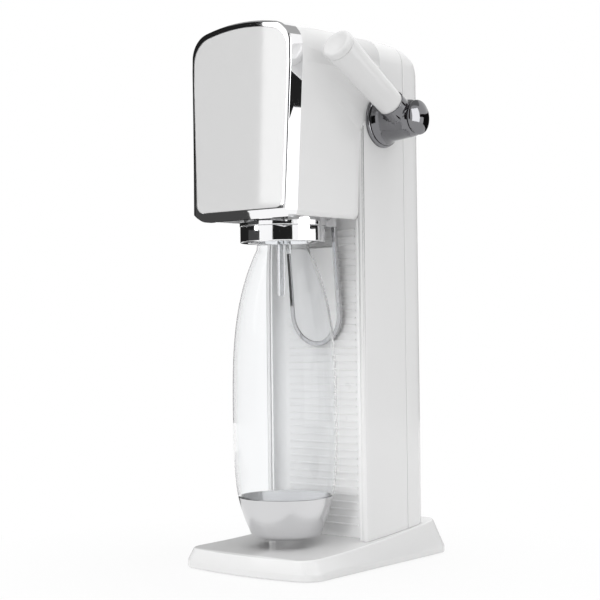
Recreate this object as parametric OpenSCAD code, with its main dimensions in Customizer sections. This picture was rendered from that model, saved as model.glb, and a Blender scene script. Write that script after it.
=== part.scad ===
// Soda carbonator: a counter-top machine that charges a bottle of water with gas.
// Frame: +Z up, the front faces -Y, the lever is on the +X side.
// The origin is on the table, straight below the bottle's axis. All lengths are in millimetres.

/* [Base] */
// Width of the base at its front
base_front_w = 140; // [136:1:144]
// Width of the base at its rear
base_rear_w = 118; // [116:1:122]
// Distance from the bottle's axis to the base's front edge
base_front = 58; // [56:1:60]
// Distance from the bottle's axis to the base's rear edge
base_rear = 141; // [138:1:143]
// Height of the thin lip round the bottom of the base
lip_h = 6; // [5:0.5:7]
// Thickness of the base at its front edge
base_front_h = 16; // [15:0.5:17]
// Thickness of the base at its rear edge
base_rear_h = 31; // [29:0.5:33]
// Wall thickness of the base
base_wall = 3; // [2.5:0.5:3.5]
// Width of the base's top at its front
base_top_front_w = 128; // [124:1:132]
// Width of the base's top at its rear
base_top_rear_w = 109; // [108:0.5:110]

/* [Column and head] */
// Overall height of the machine
top_z = 431; // [429:0.5:434]
// Width of the column and of the widest part of the head
column_w = 107; // [106:1:108]
// Width of the head at its bottom edge
head_bottom_w = 97.6; // [97:0.2:99]
// Height at which the head starts to narrow
taper_z = 396; // [392:1:398]
// Underside of the head
head_z = 283; // [282:0.5:284]
// Front face of the column
column_front = 36; // [35.5:0.5:36.5]
// Rear face of the machine
column_rear = 123; // [121:0.5:124]
// Seam between the housing and the rear cover
seam_y = 91; // [90:1:93]
// Wall thickness of the moulded shells
wall = 2.5; // [2.2:0.1:2.6]
// Corner radius of the head's arch
arch_r = 20; // [16:1:22]
// Height that the two slopes of the arch rise by
crown = 10.6; // [9:0.2:11]
// Radius of the arch at its middle
apex_r = 175; // [150:5:180]
// Radius where the top turns down to the back
shoulder_r = 62; // [56:1:64]
// Radius of the column's rear edges
rear_edge_r = 20; // [17:1:22]

/* [Front frame and panel] */
// Depth of the chrome frame, from its front to the white head
frame_depth = 14; // [13:0.5:15]
// Front edge of the frame at the head's bottom
frame_low = -52; // [-53:0.5:-51]
// Front edge of the frame at the head's top
frame_high = -48.4; // [-50:0.2:-47]
// Lowest point of the frame's sloped chin
chin_z = 276.3; // [276:0.1:277]
// Width of the chrome rim in front of the panel
rim = 3.6; // [3:0.2:4.5]
// Width of the chrome rim above the panel
rim_top = 5.6; // [5:0.2:7]
// Height of the panel's lower edge
panel_z = 283; // [282.5:0.5:285]
// How far back the frame's chin reaches, measured in front of the bottle's axis
chin_back = 44.5; // [42:0.5:46]
// Radius of the panel's upper corners
panel_r = 20; // [16:1:22]
// Wall thickness of the chrome frame
frame_wall = 3; // [2.5:0.5:3.5]

/* [Bottle] */
// Largest radius of the bottle
bottle_r = 41.8; // [41.5:0.1:42]
// Radius of the bottle's neck
neck_r = 21; // [20:0.5:22]
// Underside of the bottle
bottle_z = 24; // [23:0.5:25]
// Rim of the metal base cup
cup_z = 57; // [55:1:59]
// Mouth of the bottle
mouth_z = 269.5; // [269:0.5:270]
// Wall thickness of the bottle
bottle_wall = 1.6; // [1.4:0.1:2]

/* [Bottle cradle] */
// Radius of the chrome collar ring
collar_r = 34.3; // [34:0.1:34.5]
// Lower edge of the collar ring
collar_z = 259.6; // [259:0.2:260]
// Underside of the cradle's plate
plate_z = 272.5; // [272:0.5:273]
// Thickness of the cradle's plate
plate_h = 9; // [8.5:0.5:9]
// Half the width of the U-shaped band
band_half_w = 26.5; // [26:0.1:28]
// Lowest point of the U-shaped band
band_z = 176; // [174:1:178]
// Thickness of the band, across the bend
band_t = 3.6; // [3:0.2:4]
// Depth of the band, front to back
band_depth = 4; // [3.5:0.5:4.5]
// Front face of the band at its lowest point
band_low_y = 41; // [40.8:0.1:41.4]
// Lean of the band away from the bottle, in degrees
band_lean = 4.9; // [4.8:0.1:5]
// Height of the tilt axis
tilt_z = 286; // [285:0.5:287]
// Distance of the tilt axis in front of or behind the bottle's axis
tilt_y = -10; // [-11:0.5:-9]
// Length of the gas nozzle below the mouth
nozzle_len = 52.5; // [48:0.5:58]
// Radius of the gas nozzle
nozzle_r = 3; // [2.5:0.1:3.2]

/* [Lever] */
// Distance of the lever's axis behind the bottle's axis
lever_y = 62.5; // [62:0.5:63]
// Height of the lever's axis
lever_z = 358; // [357:0.5:359]
// Distance of the handle's centre line from the middle of the machine
handle_x = 76.5; // [76:0.5:77]
// Outer end of the domed knob
knob_end = 95.9; // [95:0.1:97]
// Slope of the handle above the horizontal, at rest
handle_slope = 29.9; // [29:0.1:31]
// Length of the handle from the lever's axis to its end
handle_len = 99; // [96:1:102]
// Radius of the handle at the hub
handle_root_r = 10; // [9.5:0.1:10.2]
// Radius of the handle at its end
handle_tip_r = 12.8; // [12:0.1:13]
// Radius of the chrome escutcheon
escutcheon_r = 21.4; // [21:0.1:22]

/* [Gas side] */
// Radius of the gas cylinder
cylinder_r = 30; // [29.5:0.1:30]
// Distance of the cylinder's axis behind the bottle's axis
cylinder_y = 84; // [83.5:0.5:84.5]
// Shoulder of the cylinder
shoulder_z = 300; // [298:1:302]
// Top of the cylinder's valve
valve_top = 372; // [371:0.5:373]

/* [Hidden] */
eps = 0.01;
far = 600;
half_w = column_w / 2;

// ---------------------------------------------------------------- outlines

function unit(v) = v / norm(v);

// Points of the arc that rounds corner q between p and s; the radius is q's third value.
function corner_arc(p, q, s, n) =
    let (
        here = [q.x, q.y],
        to_p = unit([p.x, p.y] - here),
        to_s = unit([s.x, s.y] - here),
        half = acos(to_p * to_s) / 2,
        reach = q.z / tan(half),
        centre = here + unit(to_p + to_s) * q.z / sin(half),
        first = here + to_p * reach - centre,
        last = here + to_s * reach - centre,
        a0 = atan2(first.y, first.x),
        turn = (atan2(last.y, last.x) - a0 + 540) % 360 - 180
    )
    q.z == 0 ? [here] : [for (i = [0:n]) centre + q.z * [cos(a0 + turn * i / n), sin(a0 + turn * i / n)]];

// Closed outline through corners of the form [x, y, radius].
function rounded(corners, n = 8) =
    let (last = len(corners) - 1)
    [
        for (i = [0:last])
            each corner_arc(corners[i == 0 ? last : i - 1], corners[i], corners[i == last ? 0 : i + 1], n)
    ];

// Corners given for +X, followed by the same corners mirrored to -X.
function both_sides(corners) =
    let (last = len(corners) - 1)
    concat(corners, [for (i = [last:-1:0]) [-corners[i].x, corners[i].y, corners[i].z]]);

// A front view (x, z) drawn out from y0 to y1.
module front_prism(y0, y1) {
    translate([0, y1, 0]) rotate([90, 0, 0]) linear_extrude(y1 - y0) children();
}

// A side view (y, z) drawn out from x0 to x1.
module side_prism(x0, x1) {
    translate([x0, 0, 0]) rotate([90, 0, 90]) linear_extrude(x1 - x0) children();
}

module at_lever() { translate([0, lever_y, lever_z]) rotate([0, 90, 0]) children(); }

// Rotated so that +Z follows the handle from the lever's axis to its end.
module along_handle() {
    translate([handle_x, lever_y, lever_z]) rotate([90 - handle_slope, 0, 0]) children();
}

module at_tilt() { translate([0, tilt_y, tilt_z]) rotate([0, 90, 0]) children(); }

// ---------------------------------------------------------------- base

// Height of the base's top at depth y: nearly level at the front, rising to the rear.
function base_top(y) =
    let (t = (y + base_front) / (base_front + base_rear))
    base_front_h + (base_rear_h - base_front_h) * pow(t, 1.9);

// Half of an outline of the base, from the middle of its front to the middle of its rear.
function base_half(front_w, rear_w, front_y, rear_y, bow) =
    let (
        front_corner = [front_w, front_y + bow, 17],
        rear_corner = [rear_w, rear_y, 11],
        front = corner_arc([0, front_y, 0], front_corner, rear_corner, 10),
        rear = corner_arc(front_corner, rear_corner, [0, rear_y, 0], 8),
        side_from = front[len(front) - 1],
        front_x = front[0].x
    )
    concat(
        [for (i = [0:4]) let (t = i / 5) [t * front_x, front_y + (front[0].y - front_y) * t * t]],
        front,
        [for (i = [1:9]) side_from + (rear[0] - side_from) * i / 10],
        rear
    );

function lip_half(inset) = base_half(base_front_w / 2 - inset, base_rear_w / 2 - inset,
    inset - base_front, base_rear - inset, 7);

function top_half(inset) = base_half(base_top_front_w / 2 - inset, base_top_rear_w / 2 - inset,
    inset + 2 - base_front, base_rear - 10 - inset, 6);

// A solid between the lip's outline and the top's outline; an inset makes the hollow inside it.
module base_loft(inset, floor_z) {
    low = lip_half(inset);
    high = top_half(inset);
    n = len(low);
    // each row runs from front to rear on +X, and back to the front on -X
    function row(half, level) = concat(
        [for (p = half) [p.x, p.y, level(p)]],
        [for (i = [n - 1:-1:1]) [-half[i].x, half[i].y, level(half[i])]]
    );
    m = 2 * n - 1;
    points = concat(
        row(low, function (p) floor_z),
        row(low, function (p) lip_h - inset / 2),
        row(high, function (p) base_top(p.y) - inset)
    );
    walls = [
        for (r = [0:1], i = [0:m - 1])
            let (a = r * m + i, b = r * m + (i + 1) % m)
            each [[a, a + m, b], [b, a + m, b + m]]
    ];
    // strips between the two sides at equal depth
    strips = concat([[0, 1, m - 1]], [
        for (i = [1:n - 2]) each [[i, i + 1, m - i], [i + 1, m - i - 1, m - i]]
    ]);
    top = [for (t = strips) [t[0] + 2 * m, t[2] + 2 * m, t[1] + 2 * m]];
    polyhedron(points, concat(walls, strips, top), convexity = 4);
}

// Everything below the base's top, to cut the column's foot to fit it.
module under_base_top() {
    edge = top_half(0);
    last = edge[len(edge) - 1];
    side_prism(-far, far) polygon(concat(
        [[-far, -far], [-far, edge[0].y]],
        [for (p = edge) [p.y, base_top(p.y)]],
        [[far, base_top(last.y)], [far, -far]]
    ));
}

screw_spots = [for (sx = [-1, 1], y = [-26, 86]) [sx * 40, y]];

module base_shell() {
    color("white") difference() {
        base_loft(0, 0.5);
        base_loft(base_wall, -1);
    }
    color("white") for (p = screw_spots) translate([p.x, p.y, 3.7]) difference() {
        cylinder(h = base_top(p.y) - base_wall - 3.2, r = 4.5, $fn = 32);
        translate([0, 0, -eps]) cylinder(h = 9, r = 1.6, $fn = 32);
    }
}

module lip_shape(inset) {
    low = lip_half(inset);
    polygon(concat([for (p = low) p], [for (i = [len(low) - 1:-1:1]) [-low[i].x, low[i].y]]));
}

module base_plate() {
    color("dimgray") difference() {
        translate([0, 0, 1.5]) linear_extrude(2) lip_shape(base_wall + 0.3);
        for (p = screw_spots) translate([p.x, p.y, 0]) cylinder(h = 9, r = 2, $fn = 32);
    }
}

// One round pad lies under the bottle, the others near the corners.
foot_spots = [[0, 0], [52, -34], [-52, -34], [44, 108], [-44, 108]];

module rubber_feet() {
    color("dimgray") for (p = foot_spots) translate([p.x, p.y, 0]) cylinder(h = 1.5, r = 9, $fn = 48);
}

module base_screws() {
    color("silver") for (p = screw_spots) translate([p.x, p.y, 0]) {
        translate([0, 0, 0.3]) cylinder(h = 1.2, r = 3.4, $fn = 32);
        translate([0, 0, 1.4]) cylinder(h = 7, r = 1.5, $fn = 32);
    }
}

// ---------------------------------------------------------------- housing

head_w = half_w - 0.3;
seat_z = 26;
niche_w = 48.4;
niche_y = 47.5;
niche_wall = 2.2;
plate_gap = 39.2;
blend_y = column_rear - shoulder_r;
column_top = 366;

// Where the arch's two slopes would meet, above its rounded top.
arch_slope = atan(crown / head_w);
arch_apex = top_z + apex_r * (1 / cos(arch_slope) - 1);

// Front view of the head: narrow at the bottom, arched at the top.
module head_view(bottom = head_z) {
    slope = (head_w - head_bottom_w / 2) / (taper_z - head_z);
    side = [
        [head_w - (taper_z - bottom) * slope, bottom, 6],
        [head_w, taper_z, 30],
        [head_w, arch_apex - crown, arch_r]
    ];
    left = [for (i = [2:-1:0]) [-side[i].x, side[i].y, side[i].z]];
    polygon(rounded(concat(side, [[0, arch_apex, apex_r]], left), 12));
}

// Front view of the column and of the rear of the head: straight sides under the same arch.
module column_view() {
    side = [[half_w, -20, 0], [half_w, arch_apex - crown, arch_r]];
    left = [for (i = [1:-1:0]) [-side[i].x, side[i].y, side[i].z]];
    polygon(rounded(concat(side, [[0, arch_apex, apex_r]], left), 12));
}

// Plan of the column, with its small front and large rear corners.
module column_plan() {
    polygon(rounded(both_sides([[half_w, column_front, 2.5], [half_w, column_rear, rear_edge_r]]), 12));
}

// Side view that keeps the column below the lever and everything behind it.
module column_side(t) {
    polygon(rounded([
        [column_front + t, -20, 0],
        [column_rear - t, -20, 0],
        [column_rear - t, top_z + 0.2 - t, shoulder_r - t],
        [blend_y, top_z + 0.2 - t, 0],
        [blend_y, taper_z + 1 - t, 0],
        [column_front + 20, column_top - t, 8],
        [column_front + t, column_top - 14, 8]
    ], 14));
}

// The outer form of the white body, or the space inside its walls.
module body_form(t) {
    // the head's side walls reach below its ceiling, down to the chin; the space inside is open there
    front_prism(-60, blend_y + 0.5)
        offset(delta = -t) head_view(t > 0 ? chin_z - 12 : chin_z);
    intersection() {
        front_prism(0, far) offset(delta = -t) column_view();
        translate([0, 0, -20]) linear_extrude(far) offset(delta = -t) column_plan();
        side_prism(-far, far) column_side(t);
    }
}

boss_spots = [[-12, 340], [26, 320], [26, 385]];

module housing() {
    color("white") difference() {
        union() {
            difference() {
                intersection() {
                    body_form(0);
                    side_prism(-far, far) polygon([
                        [seam_y, -5], [seam_y, far], [front_at(far, frame_depth), far], [front_at(-5, frame_depth), -5]
                    ]);
                }
                difference() {
                    body_form(wall);
                    // ceiling over the cradle and the niche
                    translate([-half_w, -60, head_z]) cube([column_w, niche_y + 63, wall]);
                    for (s = [-1, 1], p = boss_spots) boss(s, p, 4);
                }
                // the niche
                translate([-niche_w, column_front - eps, -1]) cube([2 * niche_w, 15, head_z + 1]);
                // opening for the cradle
                translate([-plate_gap, -60, head_z - 1]) cube([2 * plate_gap, 89, 9]);
            }
            // shelf that carries the gas cylinder's seat
            translate([-half_w + 1, niche_y + 3, seat_z]) cube([column_w - 2, seam_y - niche_y - 3, wall]);
            translate([0, cylinder_y, seat_z]) cylinder(h = wall, r = 29, $fn = 96);
            // boss behind the escutcheon
            translate([half_w - 4, 0, 0]) at_lever() cylinder(h = 4, r = 20, $fn = 96);
        }
        under_base_top();
        at_lever() cylinder(h = far, r = 6, $fn = 64);
        for (s = [-1, 1], p = boss_spots) translate([s * -3, 0, 0]) boss(s, p, 1.6, 10);
    }
}

// A screw boss that grows from the chassis's cheek out to the side wall.
module boss(s, p, r, h = 30) {
    translate([s * 38.7, p.x, p.y]) rotate([0, s * 90, 0]) cylinder(h = h, r = r, $fn = 32);
}

rib_pitch = 6;
rib_from = 30;
rib_to = 272;

module niche_panel() {
    top = head_z - 0.2;
    color("white") difference() {
        union() {
            difference() {
                linear_extrude(top) niche_plan(niche_w - 0.3, niche_y + niche_wall, 9);
                translate([0, 0, -1]) linear_extrude(far)
                    niche_plan(niche_w - 0.3 - niche_wall, niche_y, 7);
            }
            for (z = [rib_from:rib_pitch:rib_to])
                translate([-36, niche_y - 0.9, z]) cube([72, 1.4, 1.4]);
        }
        under_base_top();
    }
}

module niche_plan(w, depth, r) {
    polygon(rounded(both_sides([[w, column_front + 0.8, 0], [w, depth, r]]), 8));
}

// ---------------------------------------------------------------- front frame

lean = (frame_high - frame_low) / (top_z - head_z);

// Front plane of the head at height z, moved back by t.
function front_at(z, t = 0) = frame_low + (z - head_z) * lean + t;

// Side view of the chrome frame, with its sloped chin.
module frame_side() {
    edge_z = panel_z - 0.8;
    polygon([
        [front_at(edge_z), edge_z],
        [front_at(edge_z) + 1.2, edge_z - 1],
        [-chin_back, chin_z],
        [front_at(chin_z, frame_depth), chin_z],
        [front_at(top_z + 5, frame_depth), top_z + 5],
        [front_at(top_z + 5), top_z + 5]
    ]);
}

module frame_bezel() {
    color("silver") difference() {
        intersection() {
            front_prism(-80, 0) head_view(chin_z);
            side_prism(-far, far) frame_side();
        }
        // seat of the front panel
        front_prism(-90, 10) panel_view(-0.15);
        // room for the collar ring and the cradle's plate
        translate([-38, 4 - chin_back, 0]) cube([76, 30, head_z + 6.5]);
    }
    // ledge behind the panel
    color("silver") intersection() {
        front_prism(-80, 0) difference() {
            panel_view(-0.4);
            panel_view(2.5);
        }
        side_prism(-far, far) polygon([
            [front_at(head_z - 8, 3.2), head_z - 8], [front_at(top_z, 3.2), top_z],
            [front_at(top_z, 6), top_z], [front_at(head_z - 8, 6), head_z - 8]
        ]);
    }
}

// Front view of the panel: the head's outline inside the rim, with its own corners.
module panel_view(t) {
    slope = (head_w - head_bottom_w / 2) / (taper_z - head_z);
    apex = arch_apex - rim_top;
    side = [
        [head_w - (taper_z - panel_z) * slope - rim, panel_z, 7],
        [head_w - rim, taper_z - 10, 30],
        [head_w - rim, apex - (head_w - rim) * tan(arch_slope), panel_r]
    ];
    left = [for (i = [2:-1:0]) [-side[i].x, side[i].y, side[i].z]];
    offset(delta = -t) polygon(rounded(concat(side, [[0, apex, apex_r - 15]], left), 12));
}

module front_panel() {
    color("white") intersection() {
        front_prism(-80, 0) panel_view(0);
        side_prism(-far, far) polygon([
            [front_at(head_z - 8, 0.2), head_z - 8], [front_at(top_z, 0.2), top_z],
            [front_at(top_z, 3), top_z], [front_at(head_z - 8, 3), head_z - 8]
        ]);
    }
}

// ---------------------------------------------------------------- chassis

cheek_x = 36;
cheek_t = 2.5;
cross_y = 34;
bridge_z = 390.5;

module chassis() {
    color("slategray") difference() {
        union() {
            for (s = [0, 1]) mirror([s, 0, 0]) side_prism(cheek_x, cheek_x + cheek_t) cheek_view();
            translate([-cheek_x - 1, cross_y, 300]) cube([2 * cheek_x + 2, 2.5, bridge_z - 299]);
            translate([-cheek_x - 1, cross_y, bridge_z]) cube([2 * cheek_x + 2, 65, 2.5]);
            // ears of the clamp lever
            for (s = [-1, 1]) translate([s * 13.5 - 1.5, 64, bridge_z + 2]) cube([3, 12, 11]);
        }
        // bushes of the lever's shaft
        at_lever() cylinder(h = 100, r = 8, $fn = 64, center = true);
        // the valve's plunger
        translate([valve_x, 0, lever_z]) rotate([-90, 0, 0]) cylinder(h = 60, r = 4, $fn = 48);
        at_tilt() cylinder(h = 100, r = 2.5, $fn = 48, center = true);
        translate([0, 70, bridge_z + 8]) rotate([0, 90, 0]) cylinder(h = 60, r = 2, $fn = 32, center = true);
        for (s = [-1, 1], p = boss_spots)
            translate([s * 37, p.x, p.y]) rotate([0, 90, 0]) cylinder(h = 8, r = 1.7, $fn = 32, center = true);
        // the gas pipe through the cross wall
        translate([pipe_x, 30, pipe_z]) rotate([-90, 0, 0]) cylinder(h = 12, r = 3.4, $fn = 32);
        translate([0, cylinder_y, bridge_z - 1]) cylinder(h = 9, r = 5, $fn = 32);
    }
}

// Side view of one of the chassis's cheeks.
module cheek_view() {
    polygon(rounded([
        [-18, 280.5, 2], [-2, 280.5, 2], [2, 300, 4], [72, 322, 6], [80, 350, 6], [88, 392, 4], [80, 405, 8],
        [-10, 405, 8], [-20, 360, 8]
    ], 4));
}

module chassis_screws() {
    color("silver") for (s = [-1, 1], p = boss_spots)
        translate([s * cheek_x, p.x, p.y]) rotate([0, s * 90, 0]) {
            translate([0, 0, -2]) cylinder(h = 2, r = 3.2, $fn = 32);
            translate([0, 0, -0.5]) cylinder(h = 8, r = 1.5, $fn = 32);
        }
}

// ---------------------------------------------------------------- lever

shaft_r = 5;
cam_r = 11;
cam_throw = 2.5;
valve_x = 24;

module escutcheon() {
    color("silver") at_lever() rotate_extrude($fn = 128) polygon(concat(
        [[6.5, half_w + 0.1], [escutcheon_r, half_w + 0.1], [escutcheon_r, half_w + 1.3]],
        [for (i = [1:6]) [escutcheon_r - 3 * sin(15 * i), half_w + 1.3 + 1.8 * (1 - cos(15 * i))]],
        [[6.5, half_w + 3.1]]
    ));
}

module bush(s) {
    color("peru") translate([s * (cheek_x - 1), 0, 0]) at_lever() rotate([s < 0 ? 180 : 0, 0, 0])
        difference() {
            union() {
                cylinder(h = cheek_t + 2, r = 8, $fn = 64);
                translate([0, 0, -1]) cylinder(h = 2, r = 9.5, $fn = 64);
            }
            cylinder(h = 20, r = shaft_r + 0.05, $fn = 64, center = true);
        }
}

module bush_inner() { bush(-1); }
module bush_outer() { bush(1); }

module lever_shaft() {
    color("silver") translate([-cheek_x - 3, 0, 0]) at_lever() cylinder(h = 86 + cheek_x + 3, r = shaft_r, $fn = 64);
}

module lever_cam() {
    color("dimgray") translate([valve_x - 5, 0, 0]) at_lever() difference() {
        union() {
            // at rest the throw points up and back, 60 degrees from the horizontal
            translate([-cam_throw * sin(60), cam_throw * cos(60), 0]) cylinder(h = 10, r = cam_r, $fn = 96);
            translate([0, 0, -3]) cylinder(h = 3.5, r = 8, $fn = 64);
        }
        translate([0, 0, -5]) cylinder(h = 20, r = shaft_r + 0.02, $fn = 64);
    }
}

hub_from = half_w + 3.6;
hub_reach = 21.5;
handle_grow = (handle_tip_r - handle_root_r) / handle_len;
knob_from = 89;

module lever_hub() {
    flare = 9;
    color("silver") difference() {
        union() {
            at_lever() rotate_extrude($fn = 128) polygon(concat(
                [[0, hub_from]],
                [for (i = [0:8]) [16.5 + 3.3 * pow(1 - i / 8, 2.2), hub_from + flare * i / 8]],
                [[15.3, knob_from - 9]],
                [for (i = [1:5]) [12.4 + 2.9 * cos(15 * i), knob_from - 9 + 8.4 * sin(15 * i) / sin(75)]],
                [[0, knob_from - 0.6]]
            ));
            along_handle() cylinder(h = hub_reach, r1 = handle_root_r + 1.8, r2 = handle_root_r + 1.3, $fn = 96);
        }
        along_handle() translate([0, 0, shaft_r + 0.8])
            cylinder(h = 60, r1 = handle_root_r + 0.6, r2 = handle_root_r + 0.6 + 60 * handle_grow, $fn = 96);
        at_lever() cylinder(h = 86.2, r = shaft_r + 0.02, $fn = 64);
    }
}

module lever_knob() {
    // a rounded rim that runs into a shallow dome
    rim_x = 11.6 + 2.4 * cos(55);
    rim_z = knob_from + 0.8 + 2.4 * sin(55);
    dome_r = (rim_x * rim_x + pow(knob_end - rim_z, 2)) / (2 * (knob_end - rim_z));
    spread = asin(rim_x / dome_r);
    color("silver") at_lever() rotate_extrude($fn = 128) polygon(concat(
        [[0, knob_from - 0.6], [12.6, knob_from - 0.6], [13.2, knob_from], [14, knob_from + 0.8]],
        [for (i = [1:5]) [11.6 + 2.4 * cos(11 * i), knob_from + 0.8 + 2.4 * sin(11 * i)]],
        [for (i = [9:-1:0]) let (a = spread * i / 10) [dome_r * sin(a), knob_end - dome_r * (1 - cos(a))]]
    ));
}

cap_len = 5.5;

module lever_handle() {
    from = shaft_r + 1;
    grow = (handle_tip_r - handle_root_r) / handle_len;
    color("white") along_handle() rotate_extrude($fn = 96) polygon([
        [0, from], [handle_root_r + grow * from, from],
        [handle_tip_r - grow * (cap_len + 0.6), handle_len - cap_len - 0.6],
        [handle_tip_r - 1.2, handle_len - cap_len], [0, handle_len - cap_len]
    ]);
}

module handle_cap() {
    edge = 3.4;
    color("white") along_handle() rotate_extrude($fn = 96) polygon(concat(
        [[0, handle_len - cap_len], [handle_tip_r - 1.2, handle_len - cap_len],
         [handle_tip_r, handle_len - cap_len + 0.5]],
        [for (i = [0:8]) [
            handle_tip_r - edge * (1 - cos(11.25 * i)),
            handle_len - 0.8 * edge * (1 - sin(11.25 * i))
        ]],
        [[0, handle_len]]
    ));
}

// A helix of round wire about +Z.
module coil(mean_r, wire_r, length, turns, sides = 6, steps = 14) {
    n = turns * steps;
    function frame(i) =
        let (a = 360 * i / steps, z = wire_r + (length - 2 * wire_r) * i / n)
        [for (k = [0:sides - 1])
            let (b = 360 * k / sides, r = mean_r + wire_r * cos(b))
            [r * cos(a), r * sin(a), z + wire_r * sin(b)]];
    points = [for (i = [0:n]) each frame(i)];
    faces = concat(
        [[for (k = [0:sides - 1]) k]],
        [for (i = [0:n - 1], k = [0:sides - 1])
            let (a = i * sides + k, b = i * sides + (k + 1) % sides)
            each [[a, a + sides, b], [b, a + sides, b + sides]]],
        [[for (k = [sides - 1:-1:0]) n * sides + k]]
    );
    polyhedron(points, faces, convexity = 8);
}

module lever_spring() {
    color("gray") translate([-30, 0, 0]) at_lever() coil(8.2, 1, 20, 7);
}

// ---------------------------------------------------------------- valve and gas side

valve_from = 10;
plunger_y = lever_y + cam_throw / 2 - cam_r - 0.35;
pipe_x = -8;
pipe_z = 381;

module along_valve(y) { translate([valve_x, y, lever_z]) rotate([-90, 0, 0]) children(); }

module valve_body() {
    color("gold") along_valve(valve_from) difference() {
        union() {
            cylinder(h = cross_y - valve_from, r = 9, $fn = 64);
            translate([0, 0, -5]) cylinder(h = 6, r = 5, $fn = 48);
        }
        translate([0, 0, 8]) cylinder(h = 40, r = 3.05, $fn = 48);
    }
}

module valve_plunger() {
    color("silver") {
        along_valve(valve_from + 12) cylinder(h = plunger_y - 2 - valve_from - 12, r = 3, $fn = 48);
        along_valve(plunger_y - 3) cylinder(h = 3, r = 5.5, $fn = 48);
    }
}

module valve_spring() {
    color("gray") along_valve(cross_y + 2.6) coil(4.6, 0.6, plunger_y - 3 - cross_y - 2.7, 4);
}

// Thick-walled bottle of gas; its neck is open for the valve's stem.
module gas_cylinder() {
    foot = seat_z + wall + 2;
    neck = 12;
    rise = 36;
    t = 4;
    function shoulder(inset) = [
        for (i = [0:10]) [
            neck - inset + (cylinder_r - neck) * cos(9 * i), shoulder_z + (rise - inset) * sin(9 * i)
        ]
    ];
    inside = shoulder(t);
    color("silver") translate([0, cylinder_y, 0]) rotate_extrude($fn = 96) polygon(concat(
        [[0, foot], [cylinder_r - 6, foot]],
        [for (i = [1:6]) [cylinder_r - 6 * (1 - sin(15 * i)), foot + 6 * (1 - cos(15 * i))]],
        shoulder(0),
        [[neck, shoulder_z + rise + 6], [neck - t, shoulder_z + rise + 6]],
        [for (i = [10:-1:0]) inside[i]],
        [[cylinder_r - t, foot + t + 4], [cylinder_r - t - 4, foot + t], [0, foot + t]]
    ));
}

module cylinder_valve() {
    from = shoulder_z + 42;
    color("gold") translate([0, cylinder_y, 0]) {
        translate([0, 0, from - 12]) cylinder(h = 13, r = 7.95, $fn = 64);
        translate([0, 0, from]) cylinder(h = 8, r = 12.4, $fn = 6);
        translate([0, 0, from + 7.9]) cylinder(h = valve_top - from - 11.9, r = 10, $fn = 64);
        translate([0, 0, valve_top - 4.1]) cylinder(h = 4.1, r = 7, $fn = 64);
    }
}

module cylinder_seat() {
    color("dimgray") translate([0, cylinder_y, seat_z + wall]) cylinder(h = 2, r = 26, $fn = 96);
}

module connector_block() {
    color("dimgray") difference() {
        union() {
            translate([0, cylinder_y, valve_top - 6]) cylinder(h = bridge_z - valve_top + 6, r = 15, $fn = 96);
            translate([pipe_x, cylinder_y - 20, pipe_z]) rotate([-90, 0, 0]) cylinder(h = 12, r = 5, $fn = 48);
        }
        translate([0, cylinder_y, valve_top - 7]) cylinder(h = 7.3, r = 10.2, $fn = 64);
    }
}

clamp_y = 70;
clamp_z = bridge_z + 8;
clamp_end = 99;

module clamp_lever() {
    color("hotpink") difference() {
        union() {
            translate([-11.6, clamp_y, clamp_z]) rotate([0, 90, 0]) cylinder(h = 23.2, r = 4, $fn = 48);
            translate([-11.6, clamp_y, clamp_z - 2]) cube([23.2, clamp_end - clamp_y - 6, 5]);
            translate([0, clamp_end - 12, clamp_z - 2]) linear_extrude(5)
                polygon(rounded(both_sides([[18, 0, 3], [18, 12, 6]]), 6));
        }
        translate([0, clamp_y, clamp_z]) rotate([0, 90, 0]) cylinder(h = 60, r = 2.06, $fn = 48, center = true);
    }
}

module clamp_pin() {
    color("silver") translate([-15.5, clamp_y, clamp_z]) rotate([0, 90, 0]) cylinder(h = 31, r = 2, $fn = 48);
}

// A round pipe through a list of points, with a ball fitting at each bend.
module pipe(points, r) {
    last = len(points) - 1;
    for (i = [0:last - 1]) {
        run = points[i + 1] - points[i];
        translate(points[i])
            rotate([0, acos(run.z / norm(run)), atan2(run.y, run.x)]) cylinder(h = norm(run), r = r, $fn = 32);
    }
    for (i = [1:last - 1]) translate(points[i]) sphere(r = r * 1.25, $fn = 32);
}

module gas_pipe() {
    color("darkgray") pipe([
        [pipe_x, cylinder_y - 20, pipe_z], [pipe_x, 22, pipe_z], [valve_x, 22, pipe_z],
        [valve_x, 22, lever_z + 9]
    ], 2.5);
}

feed_x = 26;

module feed_pipe() {
    color("darkgray") pipe([
        [valve_x, valve_from - 5, lever_z], [valve_x, valve_from - 10, lever_z], [feed_x, tilt_y, lever_z - 8], [feed_x, tilt_y, tilt_z],
        [13, tilt_y, tilt_z]
    ], 2.5);
}

// ---------------------------------------------------------------- cradle

plate_top = plate_z + plate_h;

// Leaning frame of the band: (x, z) in the band's plane, y towards the rear.
module in_band() {
    translate([0, band_low_y, band_z]) rotate([band_lean, 0, 0]) children();
}

module band_view(t) {
    w = band_half_w - t;
    top = (plate_z - band_z) / cos(band_lean) - 0.1;
    polygon(concat(
        [[-w, top], [w, top]],
        [for (i = [0:24]) [w * cos(7.5 * i), band_half_w - w * sin(7.5 * i)]]
    ));
}

module support_band() {
    color("silver") in_band() difference() {
        front_prism(0, band_depth) band_view(0);
        front_prism(-1, band_depth + 1) band_view(band_t);
        // the band's top ends under the plate, which is level
        translate([-50, -10, plate_z - band_z + 0.2]) cube([100, 30, 30]);
    }
}

module tongue_panel() {
    color("white") in_band() intersection() {
        front_prism(0.9, band_depth - 0.5) band_view(band_t + 0.1);
        translate([-50, -5, -5]) cube([100, 20, collar_z - band_z + 2]);
    }
}

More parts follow.
